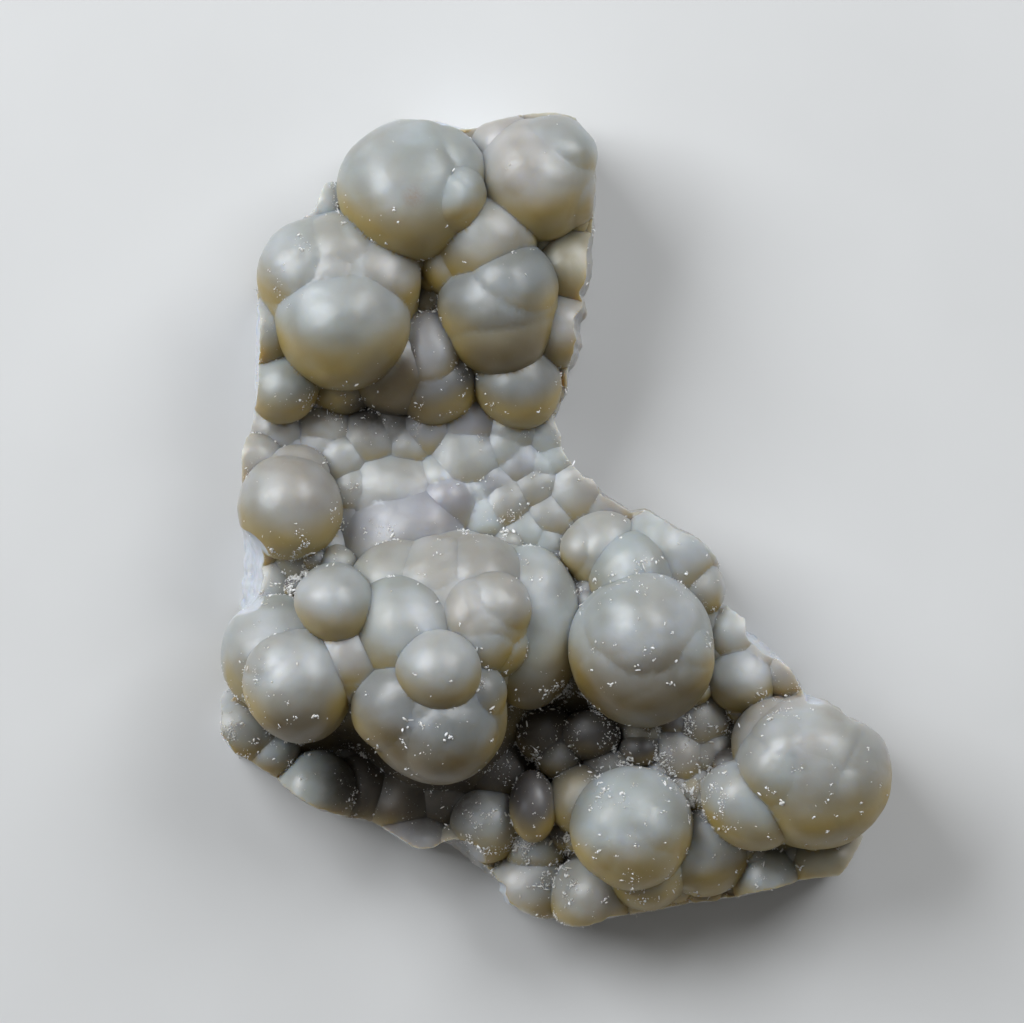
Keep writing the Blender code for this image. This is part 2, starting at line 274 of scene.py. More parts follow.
# Where the break leans out and shows from above: x, y, reach, lean.
LEANING_RIM = [(248,575,36,0.42), (765,642,22,0.10), (253,340,60,0.07), (440,118,60,0.03), (300,800,60,0.05),
               (410,850,60,0.06), (700,905,120,0.05), (800,690,20,0.03), (585,300,60,0.05), (640,508,50,0.06),
               (232,745,40,0.08), (470,862,30,0.30), (500,895,20,0.12)]


def centre_heights():
    done = {}
    for name, x, y, r, z, tint in KNOBS:
        if isinstance(z, tuple):
            other, cx, cy = z
            ox, oy, orad, oz = done[other]
            crest = oz + sqrt(max(0.0, orad ** 2 - (cx - ox) ** 2 - (cy - oy) ** 2))
            z = crest - sqrt(max(0.0, r ** 2 - (cx - x) ** 2 - (cy - y) ** 2))
        done[name] = (x, y, r, z)
    done["plain"] = PLAIN
    for parent, much, names in [*SUNK, ("plain", *SHALLOW)]:
        X, Y, R, Z = done[parent]
        for name in names.split():
            x, y, r, z = done[name]
            a = (1 - much) * (x * x + y * y + z * z - r * r) + much * (X * X + Y * Y + Z * Z - R * R)
            x, y, z = x + much * (X - x), y + much * (Y - y), z + much * (Z - z)
            done[name] = (x, y, sqrt(x * x + y * y + z * z - a), z)
    return [done[k[0]] for k in KNOBS]


def place(x, y, z):
    k = 1.0 - (z - RIM_LEVEL) / VIEW_DISTANCE
    return (AXIS[0] + (x - AXIS[0]) * k - SHEET[0],
            SHEET[1] - AXIS[1] - (y - AXIS[1]) * k)


class Waves:
    """Smooth seeded noise: a sum of plane waves."""
    def __init__(self, seed, low, high, count=22):
        rng = np.random.default_rng(seed)
        d = rng.normal(size=(count, 3))
        d /= np.linalg.norm(d, axis=1, keepdims=True)
        lengths = np.exp(rng.uniform(np.log(low), np.log(high), count))
        self.k = d * (2 * np.pi / lengths)[:, None]
        self.ph = rng.uniform(0, 2 * np.pi, count)
        self.a = (lengths / high) ** 0.6
        self.a /= sqrt((self.a ** 2).sum() / 2)

    def __call__(self, x, y, z):
        out = np.zeros(np.broadcast(x, y, z).shape, np.float32)
        for k, ph, a in zip(self.k, self.ph, self.a):
            out += (a * np.sin(k[0] * x + k[1] * y + k[2] * z + ph)).astype(np.float32)
        return out


def outline_distance(px, py):
    """Signed distance to the outline, negative inside."""
    pts = np.array([place(x, y, RIM_LEVEL) for x, y in OUTLINE])
    a, b = pts, np.roll(pts, -1, axis=0)
    best = np.full(px.shape, 1e9)
    inside = np.zeros(px.shape, bool)
    for (ax, ay), (bx, by) in zip(a, b):
        ex, ey = bx - ax, by - ay
        t = np.clip(((px - ax) * ex + (py - ay) * ey) / (ex * ex + ey * ey + 1e-9), 0, 1)
        best = np.minimum(best, (px - ax - t * ex) ** 2 + (py - ay - t * ey) ** 2)
        if ay != by:
            hit = ((ay > py) != (by > py)) & (px < ax + ex * (py - ay) / ey)
            inside ^= hit
    best = np.sqrt(best)
    return np.where(inside, -best, best)


def knob_value(rows, ids, p):
    """Field and gradient of knob ids at points p."""
    cx, cy, cz, r, s, e, c, t = (rows[ids, i] for i in range(8))
    dx, dy, dz = p[:, 0] - cx, p[:, 1] - cy, p[:, 2] - cz
    sz = np.where(dz < 0, s, 1.0)
    q = dz / sz
    a = (c * dx + t * dy) / e
    b = c * dy - t * dx
    n = np.sqrt(a * a + b * b + q * q) + 1e-9
    a = a / e
    g = np.stack([(c * a - t * b) / n, (t * a + c * b) / n, q / n / sz], axis=1)
    return n - r, g


def soften(a, reach):
    n = int(3 * reach / CELL)
    g = np.exp(-0.5 * (np.arange(-n, n + 1) * CELL / reach) ** 2)
    a = np.apply_along_axis(lambda v: np.convolve(v, g, "same"), 0, a)
    a = np.apply_along_axis(lambda v: np.convolve(v, g, "same"), 1, a)
    return a / g.sum() ** 2


def blurred_top(F, xs, ys, zs, reach):
    """The piece's height over the sheet, softened over reach."""
    solid = F < 0
    k = np.where(solid.any(axis=2), len(zs) - 1 - solid[:, :, ::-1].argmax(axis=2), 0)
    top = np.where(solid.any(axis=2), zs[k], np.nan)
    known = ~np.isnan(top)
    return soften(np.where(known, top, 0.0), reach) / (soften(known.astype(float), reach) + 1e-4)


def look_up(grid, xs, ys, p):
    gx = np.clip((p[:, 0] - xs[0]) / CELL, 0, len(xs) - 1.001)
    gy = np.clip((p[:, 1] - ys[0]) / CELL, 0, len(ys) - 1.001)
    i, j = gx.astype(int), gy.astype(int)
    u, v = gx - i, gy - j
    return (grid[i, j] * (1 - u) * (1 - v) + grid[i + 1, j] * u * (1 - v)
            + grid[i, j + 1] * (1 - u) * v + grid[i + 1, j + 1] * u * v)


def build_fields():
    heights = centre_heights()
    rows = []
    tint = []
    rng = np.random.default_rng(3)
    for (name, *_, kind), (x, y, r, z) in zip(KNOBS, heights):
        px, py = place(x, y, z)
        down = max(2.4, (z + 20.0) / (0.66 * r))
        longer, way = LONG.get(name, (1.0, 0.0))
        rows.append((px, py, z, r, down, longer, cos(radians(way)), sin(radians(way))))
        tint.append(np.array(TINTS[kind]) * rng.uniform(0.94, 1.05))
    xs = np.arange(-345, 346, CELL)
    ys = np.arange(-415, 416, CELL)
    zs = np.arange(-1.5 * CELL, 250, CELL)
    gx, gy = np.meshgrid(xs, ys, indexing="ij")
    d2 = outline_distance(gx, gy).astype(np.float32)

    # the crust between the knobs lies a few millimetres under their tops
    top = np.full(gx.shape, 40.0)
    for cx, cy, cz, r, s, e, c, t in rows:
        a = (c * (gx - cx) + t * (gy - cy)) / e
        b = c * (gy - cy) - t * (gx - cx)
        top = np.maximum(top, cz + np.sqrt(np.clip(r * r - a * a - b * b, 0, None)) - 1e3 * (a * a + b * b > r * r))
    within = (d2 < 0).astype(float)
    crust = soften(top * within, 24.0) / np.maximum(soften(within, 24.0), 0.02) - 42.0
    crust = np.clip(crust, 42.0, 130.0)

    # faint seeded lobes on the larger knobs, each meeting its knob in a ring
    # at a few degrees
    rng = np.random.default_rng(19)
    for (name, *_, kind), (x, y, r, z), own, hue in list(zip(KNOBS, heights, rows, tint)):
        calm = name in CALM.split()
        for _ in range(0 if r < 36 else int(rng.integers(3, 5)) if calm else int(rng.integers(6, 10))):
            tilt, way = radians(rng.uniform(8, 78)), rng.uniform(0, 2 * pi)
            across = radians(rng.uniform(17, 38))
            step = radians(rng.uniform(1.5, 3.5) if calm else rng.uniform(3.5, 8.0))
            away = sin(step) / sin(across + step) * r
            px, py, pz, _, down, longer, c, t = own
            rows.append((px + away * sin(tilt) * cos(way), py + away * sin(tilt) * sin(way), pz + away * cos(tilt),
                         sin(across) / sin(across + step) * r, down, longer, c, t))
            tint.append(hue * rng.uniform(0.965, 1.035))

    # smaller ones on the low knobs of the flat part
    rng = np.random.default_rng(29)
    low = SHALLOW[1].split()
    for (name, *_, kind), (x, y, r, z), own, hue in list(zip(KNOBS, heights, rows, tint)):
        for _ in range(int(rng.integers(5, 9)) if name in low else 0):
            tilt, way = asin(min(0.9, 26.0 / r)) * sqrt(rng.uniform(0, 1)), rng.uniform(0, 2 * pi)
            across = asin(min(0.9, rng.uniform(6, 13) / r))
            step = radians(rng.uniform(2.0, 5.0))
            away = sin(step) / sin(across + step) * r
            px, py, pz, _, down, longer, c, t = own
            rows.append((px + away * sin(tilt) * cos(way), py + away * sin(tilt) * sin(way), pz + away * cos(tilt),
                         sin(across) / sin(across + step) * r, down, longer, c, t))
            tint.append(hue * rng.uniform(0.96, 1.05))

    # small seeded knobs that cover it where no measured knob does
    rng = np.random.default_rng(11)
    bare_spots = [(*place(x, y, RIM_LEVEL), reach) for x, y, reach in WHOLE_RIM + RECESSES + PLAIN_SPOTS]
    for _ in range(1100):
        x = rng.uniform(-340, 340)
        y = rng.uniform(-410, 410)
        r = rng.uniform(9, 19)
        if any(np.hypot(x - cx, y - cy) < 1.1 * reach + r for cx, cy, reach in bare_spots):
            continue
        h = look_up(crust, xs, ys, np.array([[x, y]]))[0]
        rows.append((x, y, h - 4 + rng.uniform(-5, 6), r, 6.0, 1.0, 1.0, 0.0))
        tint.append(np.array(TINTS[rng.choice(["w", "a", "l", "d"])]))
    rows = np.array(rows)
    tint = np.array(tint)

    U = np.full((len(xs), len(ys), len(zs)), 60.0, np.float32)
    U2 = U.copy()
    ID = np.zeros(U.shape, np.int16)
    pad = 30.0
    for i, (cx, cy, cz, r, s, e, c, t) in enumerate(rows):
        i0, i1 = np.searchsorted(xs, (cx - r * e - pad, cx + r * e + pad))
        j0, j1 = np.searchsorted(ys, (cy - r * e - pad, cy + r * e + pad))
        k1 = np.searchsorted(zs, cz + r + pad)
        if i0 >= i1 or j0 >= j1:
            continue
        dz = zs[:k1] - cz
        q = np.where(dz < 0, dz / s, dz)
        dx = xs[i0:i1, None] - cx
        dy = ys[None, j0:j1] - cy
        flat = ((c * dx + t * dy) / e) ** 2 + (c * dy - t * dx) ** 2
        f = np.sqrt(flat[:, :, None] + q[None, None, :] ** 2).astype(np.float32) - np.float32(r)
        u = U[i0:i1, j0:j1, :k1]
        u2 = U2[i0:i1, j0:j1, :k1]
        less = f < u
        u2[...] = np.where(less, u, np.minimum(u2, f))
        ID[i0:i1, j0:j1, :k1][less] = i
        u[less] = f[less]

    whole = np.zeros(d2.shape, np.float32)
    for x, y, reach in WHOLE_RIM:
        px, py = place(x, y, RIM_LEVEL)
        whole = np.maximum(whole, np.clip(1.6 - np.hypot(gx - px, gy - py) / reach, 0, 1))
    lean = np.zeros(d2.shape, np.float32)
    for x, y, reach, amount in LEANING_RIM:
        px, py = place(x, y, RIM_LEVEL)
        w = np.clip(1.5 - np.hypot(gx - px, gy - py) / reach, 0, 1)
        lean = np.maximum(lean, amount * w * w * (3 - 2 * w))
    lean *= 1 - whole

    rough = Waves(5, 14, 60)
    fine = Waves(6, 6, 16)
    X, Y, Z = xs[:, None, None], ys[None, :, None], zs[None, None, :]
    near = np.abs(d2) < 60
    R = np.broadcast_to(d2[:, :, None], U.shape).copy()
    ii, jj = np.nonzero(near)
    zz = zs[None, :]
    xx = xs[ii][:, None]
    yy = ys[jj][:, None]
    # broken faces: a few flat-ish shells per centimetre and a fine step
    n = np.abs(rough(xx, yy, zz)) * 1.6 + np.abs(fine(xx, yy, zz)) * 0.6
    away = np.clip((zz - 20.0) / 60.0, 0, 1)
    w = whole[ii, jj][:, None]
    R[ii, jj, :] += (n * (1.15 - 0.75 * away)) * (1 - w) + lean[ii, jj][:, None] * np.maximum(zz - 25.0, 0) - 2.5 * w

    # the crust that everything stands on
    plate = np.maximum(Z - crust[:, :, None], d2[:, :, None] + 26.0 * whole[:, :, None]).astype(np.float32)
    less = plate < U
    U2 = np.where(less, U, np.minimum(U2, plate))
    U = np.where(less, plate, U)
    ID[less] = -1
    return xs, ys, zs, U, U2, ID, R, rows, tint


def trilinear(grid, xs, ys, zs, p):
    gx = np.clip((p[:, 0] - xs[0]) / CELL, 0, len(xs) - 1.001)
    gy = np.clip((p[:, 1] - ys[0]) / CELL, 0, len(ys) - 1.001)
    gz = np.clip((p[:, 2] - zs[0]) / CELL, 0, len(zs) - 1.001)
    i, j, k = gx.astype(int), gy.astype(int), gz.astype(int)
    u, v, w = gx - i, gy - j, gz - k
    out = 0
    for a in (0, 1):
        for b in (0, 1):
            for c in (0, 1):
                out = out + grid[i + a, j + b, k + c] * (u if a else 1 - u) * (v if b else 1 - v) * (w if c else 1 - w)
    return out


def grid_gradient(grid, xs, ys, zs, p, step=0.6):
    g = []
    for ax in range(3):
        e = np.zeros(3)
        e[ax] = step * CELL
        g.append(trilinear(grid, xs, ys, zs, p + e) - trilinear(grid, xs, ys, zs, p - e))
    g = np.stack(g, axis=1)
    return g / (np.linalg.norm(g, axis=1, keepdims=True) + 1e-9)


def sheets_in_cells():
    """For each of the 256 corner patterns, which sheet each cell edge belongs to."""
    ends = {}
    for ax in range(3):
        o1, o2 = [i for i in range(3) if i != ax]
        for d1 in (0, 1):
            for d2 in (0, 1):
                a = [0, 0, 0]
                a[o1], a[o2] = d1, d2
                b = list(a)
                b[ax] = 1
                ends[ax * 4 + d1 * 2 + d2] = (tuple(a), tuple(b))
    table = np.zeros((256, 12), np.int64)
    for pattern in range(256):
        def solid(c):
            return pattern >> (c[0] * 4 + c[1] * 2 + c[2]) & 1
        group = list(range(12))

        def join(e, f):
            old, new = group[e], group[f]
            for i in range(12):
                if group[i] == old:
                    group[i] = new
        for ax in range(3):
            for side in (0, 1):
                face = [e for e, (a, b) in ends.items() if a[ax] == side and b[ax] == side]
                cut = [e for e in face if solid(ends[e][0]) != solid(ends[e][1])]
                if len(cut) == 2:
                    join(*cut)
                elif len(cut) == 4:
                    for corner in {c for e in cut for c in ends[e] if solid(c)}:
                        join(*[e for e in cut if corner in ends[e]])
        found = []
        for e in range(12):
            if solid(ends[e][0]) != solid(ends[e][1]):
                if group[e] not in found:
                    found.append(group[e])
                table[pattern, e] = found.index(group[e])
    return table


def slope_of(grid, xs, ys, zs, p):
    g = []
    for ax in range(3):
        e = np.zeros(3)
        e[ax] = 0.5 * CELL
        g.append((trilinear(grid, xs, ys, zs, p + e) - trilinear(grid, xs, ys, zs, p - e)) / CELL)
    return np.stack(g, axis=1)


def contour():
    """Dual contouring of the stone, so that creases between knobs stay sharp."""
    xs, ys, zs, U, U2, ID, R, rows, tint = build_fields()
    B = (-zs)[None, None, :].astype(np.float32)
    F = np.maximum(np.maximum(U, R), B)
    F[0], F[-1], F[:, 0], F[:, -1], F[:, :, 0], F[:, :, -1] = 9, 9, 9, 9, 9, 9
    inside = F < 0
    nx, ny, nz = F.shape
    origin = np.array([xs[0], ys[0], zs[0]])
    table = sheets_in_cells()
    pattern = np.zeros(F.shape, np.uint8)
    for bit in range(8):
        dx, dy, dz = bit >> 2, bit >> 1 & 1, bit & 1
        pattern[:nx - 1, :ny - 1, :nz - 1] |= (inside[dx:nx - 1 + dx, dy:ny - 1 + dy, dz:nz - 1 + dz]
                                               .astype(np.uint8) << bit)
    cells, pts, nrm, quads = [], [], [], []
    for ax in range(3):
        a = [slice(None)] * 3
        b = [slice(None)] * 3
        a[ax], b[ax] = slice(0, -1), slice(1, None)
        cross = inside[tuple(a)] != inside[tuple(b)]
        idx = np.stack(np.nonzero(cross), axis=1)
        nxt = idx.copy()
        nxt[:, ax] += 1
        A, Bx = tuple(idx.T), tuple(nxt.T)
        f0, f1 = F[A], F[Bx]
        t = f0 / (f0 - f1)
        e = np.zeros(3)
        e[ax] = CELL
        p = origin + idx * CELL + t[:, None] * e
        id0, id1 = ID[A], ID[Bx]
        v0, _ = knob_value(rows, np.maximum(id0, 0), p)
        v1, _ = knob_value(rows, np.maximum(id1, 0), p)
        v0 = np.where(id0 < 0, 1e3, v0)
        v1 = np.where(id1 < 0, 1e3, v1)
        owner = np.where(v0 <= v1, id0, id1)
        r_at = R[A] * (1 - t) + R[Bx] * t
        u_at = U[A] * (1 - t) + U[Bx] * t
        b_at = -p[:, 2]
        kind = np.argmax(np.stack([u_at, r_at, b_at]), axis=0)
        knob = (kind == 0) & (owner >= 0)
        for _ in range(2):
            val, g = knob_value(rows, np.maximum(owner, 0), p)
            slope = g[:, ax] * CELL
            ok = knob & (np.abs(slope) > 0.15 * CELL)
            t = np.where(ok, np.clip(t - val / np.where(ok, slope, 1), 0, 1), t)
            p = origin + idx * CELL + t[:, None] * e
        _, g = knob_value(rows, np.maximum(owner, 0), p)
        n = g / np.linalg.norm(g, axis=1, keepdims=True)
        rim = kind == 1
        if rim.any():
            n[rim] = grid_gradient(R, xs, ys, zs, p[rim])
        crust = (kind == 0) & (owner < 0)
        if crust.any():
            n[crust] = grid_gradient(U, xs, ys, zs, p[crust])
        n[kind == 2] = (0, 0, -1)
        o1, o2 = [i for i in range(3) if i != ax]
        quad = []
        for d1, d2 in ((0, 0), (1, 0), (1, 1), (0, 1)):
            c = idx.copy()
            c[:, o1] -= d1
            c[:, o2] -= d2
            lin = (c[:, 0] * ny + c[:, 1]) * nz + c[:, 2]
            lin = lin * 4 + table[pattern[tuple(c.T)], ax * 4 + d1 * 2 + d2]
            quad.append(lin)
            cells.append(lin)
            pts.append(p)
            nrm.append(n)
        quad = np.stack(quad, axis=1)
        flip = inside[A]
        if ax == 1:
            flip = ~flip
        quad[~flip] = quad[~flip][:, ::-1]
        quads.append(quad)
    cells = np.concatenate(cells)
    pts = np.concatenate(pts)
    nrm = np.concatenate(nrm)
    quads = np.concatenate(quads)
    uniq, inv = np.unique(cells, return_inverse=True)
    m = len(uniq)
    cnt = np.bincount(inv, minlength=m).astype(float)
    mass = np.stack([np.bincount(inv, pts[:, i], m) for i in range(3)], axis=1) / cnt[:, None]
    rel = pts - mass[inv]
    d = (nrm * rel).sum(axis=1)
    M = np.zeros((m, 3, 3))
    for i in range(3):
        for j in range(i, 3):
            M[:, i, j] = M[:, j, i] = np.bincount(inv, nrm[:, i] * nrm[:, j], m)
    rhs = np.stack([np.bincount(inv, nrm[:, i] * d, m) for i in range(3)], axis=1)
    M += np.eye(3) * (0.03 * cnt)[:, None, None]
    delta = np.linalg.solve(M, rhs[..., None])[..., 0]
    length = np.linalg.norm(delta, axis=1, keepdims=True)
    delta *= np.minimum(1, 1.1 * CELL / np.maximum(length, 1e-6))
    verts = mass + delta
    verts[:, 2] = np.maximum(verts[:, 2], 0.0)
    faces = np.searchsorted(uniq, quads)
    return verts, faces, (xs, ys, zs, U, U2, ID, R, rows, tint)


def largest_part(verts, faces):
    """Keeps the one outer surface."""
    label = np.arange(len(verts))
    while True:
        low = label[faces].min(axis=1)
        new = label.copy()
        for i in range(4):
            np.minimum.at(new, faces[:, i], low)
        new = new[new]
        if (new == label).all():
            break
        label = new
    vals, counts = np.unique(label, return_counts=True)
    keep = label == vals[counts.argmax()]
    remap = np.cumsum(keep) - 1
    return verts[keep], remap[faces[keep[faces[:, 0]]]], keep


# Quartz grains on the sheet, listed one by one: x, y, length, width, way in degrees.
GRAINS = [
    (450,737,9,6,20), (438,727,4,3,0), (421,724,5,4,50), (366,695,5,4,10), (355,692,4,3,0), (451,681,4,3,70),
    (415,675,4,3,0), (477,649,8,3,90), (486,667,5,4,0), (489,670,4,3,40), (507,671,7,3,90), (519,700,7,3,88),
    (521,726,4,3,0), (524,714,4,3,0), (491,741,4,3,30), (403,742,5,3,0), (411,720,14,1.6,2), (390,577,8,2,5),
    (425,575,4,3,0), (437,553,4,3,0), (437,602,4,3,0), (460,624,4,3,40), (417,628,4,3,0), (418,584,3,3,0),
    (528,599,5,3,60), (532,580,4,3,0), (540,580,4,3,0), (613,575,5,4,0), (594,580,8,4,30), (581,590,5,4,0),
    (626,582,7,3,15), (637,592,5,4,0), (611,600,4,4,0), (665,623,4,3,0), (673,633,7,3,60), (653,648,5,4,0),
    (645,650,4,3,0), (616,645,4,3,0), (596,642,4,3,0), (593,649,4,3,0), (654,660,4,3,0), (676,661,5,4,0),
    (638,670,9,3,8), (592,670,5,4,0), (612,684,7,3,40), (671,684,7,3,30), (612,515,4,3,0), (625,521,4,3,0),
    (571,526,4,3,0), (621,538,4,3,0), (769,719,9,3,35), (762,736,4,4,0), (730,712,6,5,0), (716,728,6,3,90),
    (789,709,4,3,0), (813,710,4,3,0), (797,716,4,3,0), (831,785,4,3,0), (831,794,4,3,0), (828,800,4,4,0),
    (837,816,4,3,0), (861,803,4,4,0), (861,812,4,3,0), (880,785,4,3,0), (887,795,4,3,0), (868,748,4,3,0),
    (802,768,4,3,0), (846,839,4,4,0), (837,849,4,3,0), (827,832,4,3,0), (814,817,4,3,0), (766,788,4,3,0),
    (775,792,4,3,0), (782,803,8,6,40), (747,861,5,4,0), (736,872,5,4,0), (715,855,4,3,0), (756,885,4,3,0),
    (803,866,8,3,15), (622,793,7,6,0), (610,797,5,4,0), (645,824,4,3,0), (664,811,5,3,0), (635,846,4,3,0),
    (598,852,6,4,70), (594,858,5,4,0), (616,856,4,3,0), (645,901,5,4,0), (605,900,8,3,40), (725,773,8,3,60),
    (709,769,8,3,50), (629,757,9,2,12), (640,768,5,4,0), (695,892,8,3,20), (729,889,5,4,0), (738,897,5,4,0),
    (288,703,4,3,0), (315,716,7,5,0), (296,717,4,3,0), (222,737,5,4,0), (254,740,6,5,0), (257,743,5,4,0),
    (258,752,4,4,0), (274,759,4,3,0), (287,742,8,3,60), (301,745,5,4,0), (340,750,4,3,0), (376,776,4,3,0),
    (355,815,5,4,0), (374,814,4,3,0), (406,769,5,4,0), (538,776,4,3,0), (534,827,4,3,0), (529,860,5,4,0),
    (478,846,5,3,0), (476,803,4,3,0), (493,811,6,5,0), (489,815,5,4,0), (513,838,4,3,0), (540,690,5,4,0),
    (565,838,6,5,0), (363,418,5,3,0), (385,420,4,3,0), (434,312,6,5,0), (441,318,5,4,0), (431,300,5,4,0),
    (436,306,4,4,0), (463,396,4,3,0), (394,210,5,3,0), (372,240,5,4,0), (386,243,5,4,0), (398,222,4,3,0),
    (345,223,7,3,60), (300,400,5,4,0), (318,398,5,4,0), (312,405,4,4,0), (447,226,4,3,0), (512,252,4,3,0),
    (465,262,4,3,0), (477,374,5,3,0), (556,382,4,3,0), (538,412,4,3,0), (300,548,5,4,0), (292,560,6,5,0),
    (283,572,6,5,0), (276,584,6,5,0), (290,580,5,4,0), (303,566,5,4,0), (270,596,5,4,0), (262,604,5,4,0),
    (697,801,6,4,0), (688,806,5,4,0), (715,817,6,4,0), (706,822,5,4,0), (720,811,5,4,0), (601,783,6,5,0),
    (598,777,5,4,0), (604,789,5,4,0), (665,784,6,4,0), (561,868,7,5,30), (567,876,7,5,60), (571,886,6,5,0),
    (564,893,6,4,0), (557,861,5,4,0), (548,872,5,4,0), (686,574,5,4,0), (681,582,5,4,0), (506,815,5,4,0),
    (512,822,5,4,0), (524,748,5,4,0), (528,760,5,4,0), (349,800,5,4,0), (346,808,5,4,0), (567,722,5,4,0),
]
# Where small grains gather: x, y, reach, how many for their area.
DRIFTS = [
    (278,578,32,6.5), (300,556,20,4.5), (262,602,18,5.0), (284,556,18,4.5), (244,682,30,2.2), (238,722,30,2.6), (482,532,24,1.6), (508,820,34,2.6), (558,886,34,3.4),
    (568,728,14,2.6), (712,788,30,2.2), (692,806,18,2.8), (714,818,16,3.0), (602,784,14,3.0), (665,786,12,2.4),
    (526,754,20,2.4), (350,802,16,2.0), (568,838,18,2.4), (672,902,26,1.6), (684,576,16,2.0), (436,306,12,3.4),
    (310,402,16,2.2), (345,408,26,1.2), (376,240,18,1.2), (610,770,34,1.6), (690,750,30,1.6), (478,846,26,1.4),
    (365,536,14,2.6), (398,529,14,3.0), (432,527,14,3.0), (462,530,14,3.0), (500,532,16,3.0), (524,548,14,2.4),
    (350,478,12,2.6), (345,520,14,2.6), (575,596,16,2.0), (552,694,22,2.6), (457,279,10,4.0), (531,245,10,4.0),
    (381,244,14,3.4), (282,288,22,3.2), (303,254,12,2.4), (466,371,10,2.0), (420,268,10,2.4), (540,480,44,0.9),
    (505,512,26,1.2), (566,375,16,1.6), (305,762,22,1.8), (376,735,16,2.0), (430,432,30,1.0), (490,428,20,1.4),
    (590,690,16,2.0), (705,640,14,2.2), (720,600,14,1.6), (760,700,16,2.2), (648,572,18,1.8), (610,580,12,2.2),
    (360,530,24,1.2), (480,480,30,0.9), (740,890,60,0.8), (250,752,28,1.8), (620,905,60,1.0), (775,700,24,1.2),
]


def smooth_step(x):
    x = np.clip(x, 0, 1)
    return x * x * (3 - 2 * x)


